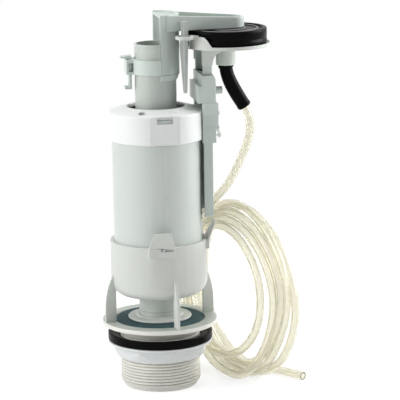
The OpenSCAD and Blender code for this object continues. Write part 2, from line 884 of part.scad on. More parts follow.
// Sliding key that locks the collar on the tube
module clamp_key() {
    color("silver")
    across(key_w)
    polygon([
        [-key_x, key_z],
        [-key_x, collar_top + gap + key_tab_t],
        [-key_x - key_tab_len, collar_top + gap + key_tab_t - edge],
        [-key_x - key_tab_len, collar_top + gap + edge],
        [-key_x - key_t, collar_top + gap],
        [-key_x - key_t, key_z + key_hook_t],
        [-key_x - key_hook_len + edge, key_z + key_hook_t],
        [-key_x - key_hook_len, key_z + key_hook_t + edge],
        [-key_x - key_hook_len, key_z]
    ]);
}

// Ears that carry the catch's pin
module catch_ears() {
    for (side = [-1, 1])
    translate([0, side * (catch_w / 2 + gap + ear_t / 2), 0])
    difference() {
        union() {
            translate([catch_x, 0, catch_z])
            rotate([90, 0, 0])
            cylinder(r = catch_barrel_r, h = ear_t, center = true, $fn = 48);
            block(bracket_x - edge, catch_x, ear_t, catch_z - catch_barrel_r, catch_z + catch_barrel_r);
        }
        translate([catch_x, 0, catch_z])
        rotate([90, 0, 0])
        cylinder(d = catch_pin_d + 2 * push_fit, h = ear_t + 2 * cut, center = true, $fn = 48);
    }
}

// Bracket on the cap's side: a stepped guide round the rail
module rail_bracket() {
    mid_share = 0.44;
    rib_share = 0.71;
    mid_z = bracket_z + mid_share * bracket_low_h;
    rib_z = bracket_z + rib_share * bracket_low_h;
    rib_h = 2.6;
    rib_out = 0.6;
    toe_len = 3;
    toe_x = bracket_foot_x - toe_len;
    toe_h = 13;
    screw_boss_d = screw_d + 2 * bracket_step;
    top_bevel = 3;
    color("lightgray")
    difference() {
        union() {
            block(bracket_foot_x, bracket_x, bracket_w, bracket_z, mid_z);
            block(bracket_foot_x, bracket_x + bracket_step, bracket_w + bracket_step, mid_z, bracket_mid);
            block(bracket_foot_x, bracket_x + bracket_step + rib_out, bracket_w + bracket_step + 2 * rib_out,
                rib_z, rib_z + rib_h);
            across(bracket_w)
            polygon([
                [toe_x, bracket_mid],
                [bracket_x, bracket_mid],
                [bracket_x, bracket_top - top_bevel],
                [bracket_x - top_bevel / 2, bracket_top],
                [bracket_foot_x, bracket_top],
                [bracket_foot_x, bracket_mid + toe_h],
                [toe_x, bracket_mid + toe_h]
            ]);
            translate([bracket_x - cut, 0, screw_z])
            rotate([0, 90, 0])
            cylinder(d = screw_boss_d, h = bracket_step + cut, $fn = 48);
            catch_ears();
        }
        translate([0, 0, bracket_z - cut])
        linear_extrude(height = bracket_top - bracket_z + 2 * cut)
        rail_plan(gap);
        translate([0, 0, bracket_z - cut])
        cylinder(r = cap_r + push_fit, h = bracket_mid - bracket_z + cut);
        translate([rail_back, 0, screw_z])
        rotate([0, 90, 0])
        cylinder(d = screw_d + 2 * run_fit, h = 3 * bracket_wall + bracket_step, $fn = 48);
    }
}

// Clamp screw that locks the rail's height
module clamp_screw() {
    head_x = bracket_x + bracket_step + gap;
    slot_w = 1;
    slot_depth = 1.2;
    color("silver")
    translate([0, 0, screw_z])
    rotate([0, 90, 0]) {
        translate([0, 0, rail_back + gap])
        cylinder(d = screw_d, h = head_x - rail_back, $fn = 48);
        translate([0, 0, head_x])
        difference() {
            cylinder(d = knob_d, h = knob_len, $fn = 48);
            translate([-knob_d, -slot_w / 2, knob_len - slot_depth])
            cube([2 * knob_d, slot_w, slot_depth + cut]);
        }
    }
}

// Catch that hangs on its pin beside the bracket
module rail_catch() {
    lever_t = 1.5;
    hook_h = 2.2;
    tip_run = 4.2;
    tip_x = catch_x + tip_run;
    tip_z = catch_z - catch_len;
    color("whitesmoke")
    difference() {
        union() {
            translate([catch_x, 0, catch_z])
            rotate([90, 0, 0])
            cylinder(r = catch_barrel_r, h = catch_w, center = true, $fn = 48);
            across(catch_w)
            polygon([
                [catch_x + catch_barrel_r - edge - lever_t, catch_z],
                [catch_x + catch_barrel_r - edge, catch_z],
                [tip_x, tip_z + hook_h],
                [tip_x - hook_h, tip_z],
                [tip_x - hook_h - edge, tip_z + 2 * edge],
                [tip_x - lever_t, tip_z + hook_h]
            ]);
        }
        translate([catch_x, 0, catch_z])
        rotate([90, 0, 0])
        cylinder(d = catch_pin_d + 2 * run_fit, h = catch_w + 2 * cut, center = true, $fn = 48);
    }
}

// Pin of the catch
module catch_pin() {
    color("silver")
    translate([catch_x, 0, catch_z])
    rotate([90, 0, 0])
    cylinder(d = catch_pin_d, h = catch_w + 2 * (gap + ear_t), center = true, $fn = 48);
}

// Side wall beside the bellows: full height at the rail, falling to the tray in an S-curve
module tray_walls() {
    outer_r = tray_d / 2;
    shoulder_angle = 50;
    toe_angle = 66;
    heel_x = tray_x - outer_r * cos(heel_angle);
    shoulder_x = tray_x - outer_r * cos(shoulder_angle);
    toe_x = tray_x - outer_r * cos(toe_angle);
    crest = tray_top + wall_h;
    steps = 14;
    fall = [for (i = [0:steps])
        [shoulder_x + (toe_x - shoulder_x) * i / steps,
        tray_top + wall_h * (1 + cos(180 * i / steps)) / 2]];
    intersection() {
        translate([tray_x, 0, 0])
        ring(outer_r, outer_r - wall_t, wall_h + tray_t, tray_z);
        across(2 * tray_d)
        polygon(concat([[toe_x, tray_z], [heel_x, tray_z], [heel_x, crest]], fall));
    }
}

// Lug with the eye that the guide rod slides in
module rod_lug() {
    eye_r = eye_d / 2 + eye_wall;
    bridge_w = 6;
    root_angle = heel_angle + 8;
    root_x = tray_x - tray_d / 2 * cos(root_angle) - rod_x;
    root_y = rod_y - tray_d / 2 * sin(root_angle);
    aim = atan2(root_y, root_x);
    reach = norm([root_x, root_y]) + bridge_w;
    difference() {
        union() {
            translate([rod_x, -rod_y, lug_z])
            cylinder(r = eye_r, h = lug_t);
            translate([rod_x, -rod_y, lug_z])
            rotate([0, 0, aim])
            translate([0, -bridge_w / 2, 0])
            cube([reach, bridge_w, lug_t]);
        }
        translate([rod_x, -rod_y, lug_z - cut])
        cylinder(d = eye_d, h = lug_t + 2 * cut);
        translate([tray_x, 0, lug_z - cut])
        cylinder(r = tray_d / 2 - wall_t / 2, h = lug_t + 2 * cut);
    }
}

// Cheeks under the tray that grip the rail's upper end
module rail_cheeks() {
    cheek_t = 2;
    cheek_h = 12;
    toe_h = 3;
    steps = 8;
    front_x = rail_back + gap;
    toe_x = tray_x - boss_d / 2;
    flare = [for (i = [0:steps])
        [front_x + (toe_x - front_x) * (1 - cos(90 * i / steps)),
        tray_z - cheek_h + (cheek_h - toe_h) * sin(90 * i / steps)]];
    for (side = [-1, 1])
    translate([0, side * (rail_w / 2 + push_fit + cheek_t / 2), 0])
    across(cheek_t)
    polygon(concat(
        [[toe_x, tray_z + edge], [rail_x - edge, tray_z + edge], [rail_x - edge, tray_z - cheek_h]],
        flare
    ));
}

// Hose boss with the spigot that the rubber sleeve is pushed on
module hose_boss() {
    translate([tray_x, 0, boss_z])
    cylinder(d = boss_d, h = boss_h + edge);
    translate([tray_x, 0, boss_z - sock_neck])
    cylinder(d = spigot_d, h = sock_neck + edge, $fn = 48);
}

// Tray that carries the bellows
module bellows_tray() {
    rim_w = 1.2;
    color("gainsboro")
    difference() {
        union() {
            translate([tray_x, 0, tray_z])
            cylinder(d = tray_d, h = tray_t);
            translate([tray_x, 0, 0])
            ring(tray_d / 2, tray_d / 2 - rim_w, tray_t + edge, tray_z);
            tray_walls();
            rod_lug();
            rail_cheeks();
            hose_boss();
        }
        translate([tray_x, 0, boss_z - sock_neck - cut])
        cylinder(d = air_d, h = tray_top - boss_z + sock_neck + 2 * cut, $fn = 48);
    }
}

// Rail that slides in the bracket, open towards the canister
module rail_bar() {
    color("lightgray")
    translate([0, 0, rail_z])
    linear_extrude(height = rail_len)
    rail_plan(0);
}

// Air bellows: hollow, one flat fold, with rings sunk in its top
module bellows() {
    r = bellows_d / 2;
    mid = bellows_z + bellows_h / 2;
    sunk = bellows_top - bellows_ring_h;
    outer_share = 0.77;
    land_share = 0.61;
    inner_share = 0.45;
    outer_ring = outer_share * r;
    outer_ring_in = land_share * r;
    inner_ring = inner_share * r;
    inner_r = r - fold_depth - bellows_wall;
    color("black")
    translate([tray_x, 0, 0])
    rotate_extrude()
    polygon([
        [air_d / 2, bellows_z],
        [r - edge, bellows_z],
        [r, bellows_z + edge],
        [r, mid - 2 * fold_depth],
        [r - fold_depth, mid],
        [r, mid + 2 * fold_depth],
        [r, bellows_top - edge],
        [r - edge, bellows_top],
        [outer_ring, bellows_top],
        [outer_ring, sunk],
        [outer_ring_in, sunk],
        [outer_ring_in, bellows_top],
        [inner_ring, bellows_top],
        [inner_ring, sunk],
        [0, sunk],
        [0, sunk - bellows_wall],
        [inner_r, sunk - bellows_wall],
        [inner_r, bellows_z + bellows_wall],
        [air_d / 2, bellows_z + bellows_wall]
    ]);
}

// Rubber sleeve from the boss to the hose: lip and neck, bend, and a straight cuff over the bend's end
module hose_sleeve() {
    lip_h = 2;
    cuff_step = 0.2;
    bore_d = spigot_d + 2 * push_fit;
    color("black")
    translate([tray_x, 0, sock_top]) {
        rotate_extrude($fn = 48)
        polygon([
            [bore_d / 2, 0],
            [sock_lip_d / 2, 0],
            [sock_lip_d / 2, -lip_h],
            [sock_d / 2, -lip_h],
            [sock_d / 2, -sock_neck],
            [bore_d / 2, -sock_neck]
        ]);
        translate([sock_bend_r, 0, -sock_neck])
        rotate([90, 0, 0])
        rotate([0, 0, 180])
        rotate_extrude(angle = sock_bend)
        translate([sock_bend_r, 0])
        annulus(sock_d - 2 * cuff_step, bore_d);
        translate([sock_bend_r * (1 - cos(sock_bend)), 0, -sock_neck - sock_bend_r * sin(sock_bend)])
        rotate([0, 180 - sock_bend, 0])
        translate([0, 0, -edge])
        linear_extrude(height = sock_len + edge)
        annulus(sock_d, bore_d + 2 * cuff_step);
    }
}

// Flat ring
module annulus(outer_d, inner_d) {
    difference() {
        circle(d = outer_d, $fn = 48);
        circle(d = inner_d, $fn = 48);
    }
}

// Hose from the rubber sleeve down to the coil
module hose_lead() {
    drop = [sin(sock_bend), 0, -cos(sock_bend)];
    color("ivory")
    swept_tube(concat([hose_start, hose_start + hose_d / 2 * drop], lead_route), hose_d, 8);
}

// Standing coil of the hose
module hose_coil() {
    color("ivory")
    translate([coil_x, coil_y, coil_r])
    rotate([0, 0, coil_turn])
    rotate([90, 0, 0])
    rotate_extrude()
    translate([coil_r - coil_t, -coil_w / 2])
    square([coil_t, coil_w]);
}

// Free end of the hose, lying in front of the coil
module hose_tail() {
    color("ivory")
    swept_tube(tail_route, hose_d, 8);
}

outlet_tail();
leg_cage();
sealing_washer();
back_nut();
canister();
canister_cap();
overflow_tube();
delay_float();
seal_plate();
flush_seal();
seal_retainer();
lift_arm();
guide_rod();
clamp_key();
rail_bracket();
clamp_screw();
rail_catch();
catch_pin();
bellows_tray();
rail_bar();
bellows();
hose_sleeve();
hose_lead();
hose_coil();
hose_tail();
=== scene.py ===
"""Toilet flush valve: finishes, threads, rounded edges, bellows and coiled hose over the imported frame."""
import json
import math
from math import cos, pi, radians, sin

import bmesh
import bpy
import numpy as np
from mathutils import Matrix, Vector


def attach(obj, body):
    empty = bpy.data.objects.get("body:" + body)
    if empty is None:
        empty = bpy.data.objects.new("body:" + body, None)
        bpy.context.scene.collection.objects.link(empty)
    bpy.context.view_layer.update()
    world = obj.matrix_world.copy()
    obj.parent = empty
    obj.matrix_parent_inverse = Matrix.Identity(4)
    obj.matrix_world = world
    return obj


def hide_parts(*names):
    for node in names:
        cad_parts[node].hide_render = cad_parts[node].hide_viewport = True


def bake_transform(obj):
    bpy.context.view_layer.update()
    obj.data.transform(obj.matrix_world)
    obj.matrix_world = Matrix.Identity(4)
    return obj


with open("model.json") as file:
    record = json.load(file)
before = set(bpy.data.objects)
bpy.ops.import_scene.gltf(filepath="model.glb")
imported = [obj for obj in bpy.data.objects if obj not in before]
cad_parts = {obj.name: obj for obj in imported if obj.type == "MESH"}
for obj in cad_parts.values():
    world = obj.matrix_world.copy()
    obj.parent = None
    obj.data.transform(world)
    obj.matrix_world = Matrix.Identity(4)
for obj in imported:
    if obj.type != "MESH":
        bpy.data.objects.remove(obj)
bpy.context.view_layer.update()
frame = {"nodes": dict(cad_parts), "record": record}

# Sizes of pieces are written in mm, and times mm they are Blender's metres
mm = 0.001
body_of_node = {n: b for b, nodes in frame["record"]["behaviour"]["bodies"].items() for n in nodes}


# Camera
def photo_camera():
    """The view of the photograph: a long lens, a little above the valve and to its left."""
    eye, aim, roll = Vector((-0.2594, -1.6515, 0.4884)), Vector((0.0308, -0.0054, 0.1392)), -0.86
    data = bpy.data.cameras.new("photo_camera")
    data.lens, data.sensor_width, data.clip_start, data.clip_end = 207.36, 36.0, 0.05, 50.0
    camera = bpy.data.objects.new("photo_camera", data)
    bpy.context.scene.collection.objects.link(camera)
    turn = (aim - eye).to_track_quat("-Z", "Y").to_matrix().to_4x4()
    camera.matrix_world = Matrix.Translation(eye) @ turn @ Matrix.Rotation(radians(roll), 4, "Z")
    bpy.context.scene.camera = camera


# Shader expressions
class Wire:
    """A shader socket in an expression: arithmetic on it adds Math nodes."""

    def __init__(self, finish, socket):
        self.finish, self.socket = finish, socket

    def _math(self, operation, *values):
        return self.finish.node("ShaderNodeMath", {"operation": operation}, dict(enumerate(values)))

    def __add__(self, other):
        return self._math("ADD", self, other)

    __radd__ = __add__

    def __mul__(self, other):
        return self._math("MULTIPLY", self, other)

    __rmul__ = __mul__

    def __sub__(self, other):
        return self._math("SUBTRACT", self, other)

    def __rsub__(self, other):
        return self._math("SUBTRACT", other, self)

    def __abs__(self):
        return self._math("ABSOLUTE", self)

    def below(self, edge, soft):
        """1 where the value is under edge, 0 above it, over a soft step."""
        return self.finish.node("ShaderNodeMapRange", {"interpolation_type": "SMOOTHSTEP"},
                                {0: self, 1: edge - soft, 2: edge + soft, 3: 1.0, 4: 0.0})

    def above(self, edge, soft):
        """1 where the value is over edge, 0 under it, over a soft step."""
        return 1 - self.below(edge, soft)


class Finish:
    """One material, or the room's light, built node by node."""

    def __init__(self, name, kind="materials"):
        self.held = getattr(bpy.data, kind).new(name)
        self.held.use_nodes = True
        self.tree = self.held.node_tree
        self.tree.nodes.clear()

    def node(self, kind, settings=None, sockets=None, out=0):
        """A node of this kind: its settings first, then its sockets' values or links.

        out names the output, or the outputs as a tuple, that comes back.
        """
        made = self.tree.nodes.new(kind)
        for key, value in (settings or {}).items():
            setattr(made, key, value)
        for key, value in (sockets or {}).items():
            if isinstance(value, Wire):
                self.tree.links.new(value.socket, made.inputs[key])
            elif isinstance(value, tuple) and len(value) == 3 and made.inputs[key].type == "RGBA":
                made.inputs[key].default_value = (*value, 1)
            else:
                made.inputs[key].default_value = value
        if isinstance(out, tuple):
            return [Wire(self, made.outputs[i]) for i in out]
        return Wire(self, made.outputs[out]) if made.outputs else None

    def place(self):
        """The point on the piece, in metres in the part's own frame."""
        return self.node("ShaderNodeTexCoord", out="Object")

    def axes(self, place):
        """x, y and z of a place as three values."""
        return self.node("ShaderNodeSeparateXYZ", None, {0: place}, out=(0, 1, 2))

    def stretched(self, place, scale):
        """The place with each axis scaled by its own number."""
        return self.node("ShaderNodeVectorMath", {"operation": "MULTIPLY"}, {0: place, 1: scale})

    def clouds(self, place, scale, detail=3.0, rough=0.55):
        """Soft noise from 0 to 1, with scale blotches to the metre."""
        return self.node("ShaderNodeTexNoise", {"noise_dimensions": "3D"},
                         {"Vector": place, "Scale": scale, "Detail": detail, "Roughness": rough})

    def mix(self, share, one, other):
        """Colour one where share is 0, the other where it is 1."""
        return self.node("ShaderNodeMix", {"data_type": "RGBA"}, {0: share, 6: one, 7: other}, out=2)

    def bump(self, height, strength, depth):
        """Normals as if the surface stood depth metres higher where height is 1, toned down to strength."""
        return self.node("ShaderNodeBump", None,
                         {"Strength": strength, "Distance": depth, "Height": height})

    def surface(self, sockets, volume=None):
        """The finished material: one principled surface, and what fills a clear wall."""
        sinks = {"Surface": self.node("ShaderNodeBsdfPrincipled", None, sockets)}
        if volume:
            sinks["Volume"] = volume
        self.node("ShaderNodeOutputMaterial", None, sinks)
        return self.held


# Finishes
# Heights of the gate's mark and the tube's groove, and half the width of each fine mark
gate_mark_z, gate_mark_half = 147.6, 1.2
tube_groove_z, groove_half = 57.2, 0.3
parting_line_half = 0.14
# The bellows' axis, and the radii of the two rings on its top
bellows_x, bellows_rings = 52.5, (23.7, 14.5)


def moulded(name, pale, deep, rough, line=None, groove=None):
    """Injection-moulded plastic: drifting tone, flow streaks, fine grain, a painted highlight on sharp
    edges and painted shade in creases.

    line is (x, y) of a parting line that runs up the wall at that side, with the gate's mark on it.
    groove is the height of a fine ring round the piece.
    """
    f = Finish(name)
    place = f.place()
    drift = f.clouds(place, 28, 3)
    streaks = f.clouds(f.stretched(place, (260, 260, 18)), 1.0, 2)
    grains = f.clouds(place, 2600, 2, 0.6)
    specks = f.clouds(place, 700, 1).above(0.68, 0.05)
    turned = f.node("ShaderNodeNewGeometry", out="Pointiness")
    # Pointiness finds sharp convex edges, painted paler as a highlight, and creases, painted darker as
    # shade
    edges, painted_crease_shade = turned.above(0.53, 0.05), turned.below(0.455, 0.035)
    tone = f.mix(0.55 * drift + 0.45 * streaks, deep, pale)
    # Painted highlight on sharp edges
    tone = f.mix(0.25 * edges, tone, tuple(min(1.0, 1.05 * c) for c in pale))
    tone = f.mix(0.06 * specks, tone, tuple(0.72 * c for c in deep))
    # Painted shade in creases
    tone = f.mix(0.55 * painted_crease_shade, tone, tuple(0.45 * c for c in deep))
    height = 0.05 * grains + 0.10 * streaks
    if line:
        x, y, z = f.axes(place)
        reach = math.hypot(*line)
        across = abs(x * (-line[1] / reach) + y * (line[0] / reach))
        side = (x * (line[0] / reach) + y * (line[1] / reach)).above(0.0, 0.001)
        seam = across.below(parting_line_half * mm, 0.1 * mm) * side
        tone = f.mix(0.60 * seam, tone, tuple(min(1.0, 1.15 * c) for c in pale))
        gate = abs(z - gate_mark_z * mm).below(gate_mark_half * mm, 0.4 * mm) * seam
        tone = f.mix(0.60 * gate, tone, tuple(0.55 * c for c in deep))
        height = height + 1.2 * seam
    if groove:
        ring = abs(f.axes(place)[2] - groove * mm).below(groove_half * mm, 0.1 * mm)
        tone = f.mix(0.45 * ring, tone, tuple(0.5 * c for c in deep))
        height = height - 2.0 * ring
    return f.surface({"Base Color": tone, "Roughness": rough - 0.06 + 0.12 * grains + 0.05 * drift,
                      "IOR": 1.49, "Specular IOR Level": 0.45,
                      "Normal": f.bump(height, 0.22, 0.00025)})


def rubber(name, pale, deep, rough, bloom, painted_highlight_rings=()):
    """Moulded rubber: dark, with a dusty bloom, a fine skin and dull smears.

    The last argument lists the radii of rings round the bellows' axis whose ridges are painted pale as a
    highlight.
    """
    f = Finish(name)
    place = f.place()
    dust = f.clouds(place, 60, 4, 0.6)
    skin = f.clouds(place, 1900, 2)
    smears = f.clouds(f.stretched(place, (90, 90, 240)), 1.0, 2)
    tone = f.mix(0.7 * dust + 0.3 * smears, deep, pale)
    tone = f.mix(bloom * skin.above(0.6, 0.08), tone, tuple(min(1.0, 2.2 * c + 0.004) for c in pale))
    for radius in painted_highlight_rings:
        x, y = f.axes(place)[:2]
        aside, reach = x - bellows_x * mm, radius * mm
        # Painted highlight: a thin pale grey ring along each ridge on the bellows' top
        painted_ring_highlight = abs(aside * aside + y * y - reach * reach).below(reach * 0.0008, reach * 0.0004)
        tone = f.mix(0.8 * painted_ring_highlight, tone, (0.42, 0.42, 0.42))
    return f.surface({"Base Color": tone, "Roughness": rough + 0.16 * smears - 0.06 * skin,
                      "IOR": 1.48, "Specular IOR Level": 0.05,
                      "Normal": f.bump(0.5 * skin + 0.5 * smears, 0.16, 0.0002)})


def clear_vinyl(name):
    """Soft clear tube: cream through its wall, deeper where turns overlap, with a faint haze."""
    f = Finish(name)
    place = f.place()
    haze = f.clouds(place, 45, 3)
    tone = f.mix(haze, (0.965, 0.955, 0.91), (0.99, 0.98, 0.945))
    wall = f.node("ShaderNodeVolumeAbsorption", None, {"Color": (0.88, 0.81, 0.38), "Density": 110.0})
    return f.surface({"Base Color": tone, "Roughness": 0.02 + 0.03 * haze, "IOR": 1.33,
                      "Transmission Weight": 0.84, "Specular IOR Level": 0.5}, wall)


def drawn_steel(name):
    """Drawn wire: fine lines along its length."""
    f = Finish(name)
    place = f.place()
    lines = f.clouds(f.stretched(place, (4000, 60, 4000)), 1.0, 2)
    return f.surface({"Base Color": f.mix(lines, (0.42, 0.42, 0.43), (0.62, 0.62, 0.63)), "Metallic": 1.0,
                      "Roughness": 0.26 + 0.16 * lines, "Normal": f.bump(lines, 0.1, 0.0001)})


# Paler tone, deeper tone and roughness of each plain plastic
plain_plastics = {
    "tail_plastic": ((0.80, 0.79, 0.74), (0.70, 0.69, 0.63), 0.42),
    "cage_plastic": ((0.65, 0.675, 0.64), (0.54, 0.56, 0.52), 0.32),
    "nut_plastic": ((0.70, 0.72, 0.72), (0.64, 0.66, 0.66), 0.36),
    # A darker tone of the tail's own plastic, painted as shade on the flange's top and in the bore
    "flange_painted_shade": ((0.50, 0.53, 0.48), (0.43, 0.46, 0.41), 0.36),
    "cap_plastic": ((0.84, 0.86, 0.85), (0.76, 0.78, 0.76), 0.30),
    "rod_plastic": ((0.50, 0.53, 0.50), (0.40, 0.42, 0.40), 0.30),
    "arm_plastic": ((0.62, 0.69, 0.645), (0.51, 0.57, 0.53), 0.36),
}
finishes = {name: moulded(name, *tones) for name, tones in plain_plastics.items()}
finishes |= {
    "canister_plastic": moulded("canister_plastic", (0.62, 0.66, 0.63), (0.53, 0.57, 0.54), 0.27,
                                line=(0.03, -1.0)),
    "tube_plastic": moulded("tube_plastic", (0.55, 0.59, 0.55), (0.46, 0.50, 0.46), 0.24,
                            groove=tube_groove_z),
    "black_rubber": rubber("black_rubber", (0.0025, 0.0025, 0.0028), (0.0010, 0.0010, 0.0012), 0.30, 0.05),
    "bellows_rubber": rubber("bellows_rubber", (0.0030, 0.0032, 0.0032), (0.0010, 0.0010, 0.0012),
                             0.26, 0.05, painted_highlight_rings=bellows_rings),
    "seal_rubber": rubber("seal_rubber", (0.060, 0.110, 0.120), (0.035, 0.070, 0.078), 0.50, 0.15),
    "hose_vinyl": clear_vinyl("hose_vinyl"),
    "pin_steel": drawn_steel("pin_steel"),
}
slot_of_node = {s["node"]: s["material_slot"] for s in frame["record"]["subparts"]}


# Mesh tools
def piece(name, mesh, slot, nodes, body=None, sharp=40, finish=None):
    """A shown piece: smooth but for its sharp edges, finished, in place of CAD nodes, riding its body."""
    for face in mesh.polygons:
        face.use_smooth = True
    mesh.set_sharp_from_angle(angle=radians(sharp))
    made = bpy.data.objects.new(name, mesh)
    bpy.context.scene.collection.objects.link(made)
    mesh.materials.clear()
    mesh.materials.append(finishes[finish or slot])
    if body:
        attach(made, body)
    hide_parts(*nodes)
    return made


def ring_faces(rings, columns, closed):
    """Four-sided faces from each ring of points to the next, and from the last to the first if closed."""
    faces = []
    for i in range(rings if closed else rings - 1):
        j = (i + 1) % rings
        for k in range(columns):
            n = (k + 1) % columns
            faces.append((i * columns + k, i * columns + n, j * columns + n, j * columns + k))
    return faces


def mesh_of(name, points, faces):
    """A mesh of these points and faces, with its faces turned outwards."""
    mesh = bpy.data.meshes.new(name)
    mesh.from_pydata([tuple(p) for p in points], [], faces)
    bm = bmesh.new()
    bm.from_mesh(mesh)
    bmesh.ops.recalc_face_normals(bm, faces=bm.faces)
    bm.to_mesh(mesh)
    bm.free()
    return mesh


def dressed(node, edge, join=True, slot=None, finish=None, crisp=40):
    """The node's own solid with its flats joined up and its sharper edges rounded over.

    edge is the width of the rounding in mm, crisp the angle from which an edge is shaded as sharp.
    """
    rounded_from, weld, flat_within = 30, 2e-6, 0.5
    bm = bmesh.new()
    bm.from_mesh(frame["nodes"][node].data)
    bmesh.ops.remove_doubles(bm, verts=bm.verts, dist=weld)
    if join:
        bmesh.ops.dissolve_limit(bm, angle_limit=radians(flat_within), verts=bm.verts, edges=bm.edges)
    crests = [e for e in bm.edges if e.is_manifold and e.calc_face_angle() > radians(rounded_from)]
    bmesh.ops.bevel(bm, geom=crests, offset=edge * mm, offset_type="OFFSET", segments=2, profile=0.5,
                    affect="EDGES", clamp_overlap=False)
    mesh = bpy.data.meshes.new(node + "_form")
    bm.to_mesh(mesh)
    bm.free()
    made = piece(node + "_form", mesh, slot or slot_of_node[node], [node], body_of_node[node],
                 crisp, finish)
    made.modifiers.new("even_normals", "WEIGHTED_NORMAL").keep_sharp = True


def tube_mesh(name, path, outer, inner):
    """A hollow tube along path, with its wall closed at both ends."""
    sides = 28
    path = [Vector(p) for p in path]
    heads = [(path[min(i + 1, len(path) - 1)] - path[max(i - 1, 0)]).normalized() for i in range(len(path))]
    side = heads[0].orthogonal().normalized()
    points, faces = [], []
    for spot, head in zip(path, heads):
        side = (side - head * side.dot(head)).normalized()
        other = head.cross(side)
        for reach in (outer, inner):
            for k in range(sides):
                a = 2 * pi * k / sides
                points.append(spot + (side * cos(a) + other * sin(a)) * reach)
    row = 2 * sides
    for i in range(len(path) - 1):
        for k in range(sides):
            n = (k + 1) % sides
            a, b = i * row, (i + 1) * row
            faces.append((a + k, a + n, b + n, b + k))
            faces.append((a + sides + n, a + sides + k, b + sides + k, b + sides + n))
    for a, turn in ((0, 1), ((len(path) - 1) * row, -1)):
        for k in range(sides):
            n = (k + 1) % sides
            ring = (a + k, a + sides + k, a + sides + n, a + n)
            faces.append(ring[::turn])
    return mesh_of(name, points, faces)


def smooth_path(knots, step):
    """A smooth curve along the knots, with points about a step apart, and its length.

    A centripetal spline through the knots, then a few rounds that even out its bends.
    """
    points_per_knot, smoothing_rounds = 24, 14
    knots = [np.array(k, float) for k in knots]
    knots = [2 * knots[0] - knots[1]] + knots + [2 * knots[-1] - knots[-2]]
    fine = []
    for a, b, c, d in zip(knots, knots[1:], knots[2:], knots[3:]):
        t0, t1 = 0.0, math.sqrt(np.linalg.norm(b - a))
        t2 = t1 + math.sqrt(np.linalg.norm(c - b))
        t3 = t2 + math.sqrt(np.linalg.norm(d - c))
        for t in np.linspace(t1, t2, points_per_knot, endpoint=False):
            ab, bc = a + (b - a) * (t - t0) / (t1 - t0), b + (c - b) * (t - t1) / (t2 - t1)
            cd = c + (d - c) * (t - t2) / (t3 - t2)
            abc, bcd = ab + (bc - ab) * (t - t0) / (t2 - t0), bc + (cd - bc) * (t - t1) / (t3 - t1)
            fine.append(abc + (bcd - abc) * (t - t1) / (t2 - t1))
    fine = np.array(fine + [knots[-2]])
    run = np.concatenate([[0], np.cumsum(np.linalg.norm(np.diff(fine, axis=0), axis=1))])
    stations = np.linspace(0, run[-1], max(2, round(run[-1] / step)) + 1)
    path = np.stack([np.interp(stations, run, fine[:, i]) for i in range(3)], axis=1)
    for _ in range(smoothing_rounds):
        path[1:-1] += 0.25 * (path[:-2] + path[2:] - 2 * path[1:-1])
    return path, float(np.linalg.norm(np.diff(path, axis=0), axis=1).sum())


# Hose
hose_d, hose_bore = 6.2, 4.0
hose_exit = (66.4, 0.0, 207.2)
# The bend below the elbow: its angle, its radius and how far it drifts back
elbow_bend, first_bend_r, first_drift = 34.0, 30.0, 0.8
# From one ring of the mesh to the next, and from knot to knot round the coil in degrees
hose_step, knot_angle = 2.6, 15
# x, y and z from the first bend down to the coil
lead_knots = [(70.3, 2.6, 184.8), (69.0, 4.8, 178.0), (65.5, 7.3, 169.1), (61.4, 10.8, 157.3),
              (55.8, 15.4, 145.8), (48.8, 21.8, 135.6), (41.0, 30.6, 125.6)]
# The coil stands on edge: x and y of its centre, the turn of its plane in degrees, its centre's height
coil_centre, coil_turn, coil_h = (56.0, 10.2), -64.0, 66.5
# Angle round the coil, reach from its centre and place across it, from the lead's end to the floor
coil_turns = [(140, 66.2, -6.2), (180, 60.5, -9.9), (225, 53.8, -10.7), (270, 49.5, -9.6),
              (315, 48.0, -8.9), (360, 48.5, -8.7), (405, 48.3, -8.2), (450, 49.8, -7.4),
              (540, 52.6, -4.4), (585, 58.6, -3.8), (630, 63.4, -6.0), (650, 66.0, -7.4),
              (690, 59.4, -5.0), (720, 55.5, -2.3), (765, 53.3, -2.7), (810, 54.3, -2.9),
              (900, 59.0, 1.7), (990, 56.4, 3.7), (1010, 58.6, 4.0), (1050, 54.7, 4.4),
              (1080, 56.0, 4.8), (1125, 55.3, 3.7), (1170, 59.3, 1.6), (1260, 62.6, 7.8),
              (1350, 63.4, 5.1), (1370, 66.2, 4.6), (1410, 61.2, 4.6), (1440, 62.4, 5.0),
              (1485, 61.6, 6.0), (1530, 64.7, 6.8), (1620, 63.6, 14.2), (1710, 63.4, 11.6),
              (1730, 66.8, 11.4), (1755, 67.4, 11.4), (1785, 65.6, 11.4), (1830, 59.6, 12.0),
              (1860, 58.8, 12.6), (1890, 61.2, 13.3), (1980, 60.4, 19.9), (2070, 63.4, 19.8)]
# Places along the coil's plane and across it, for the end that lies on the floor
tail_knots = [(12.0, 22.6), (24.0, 26.6), (36.0, 29.3), (48.7, 30.55)]


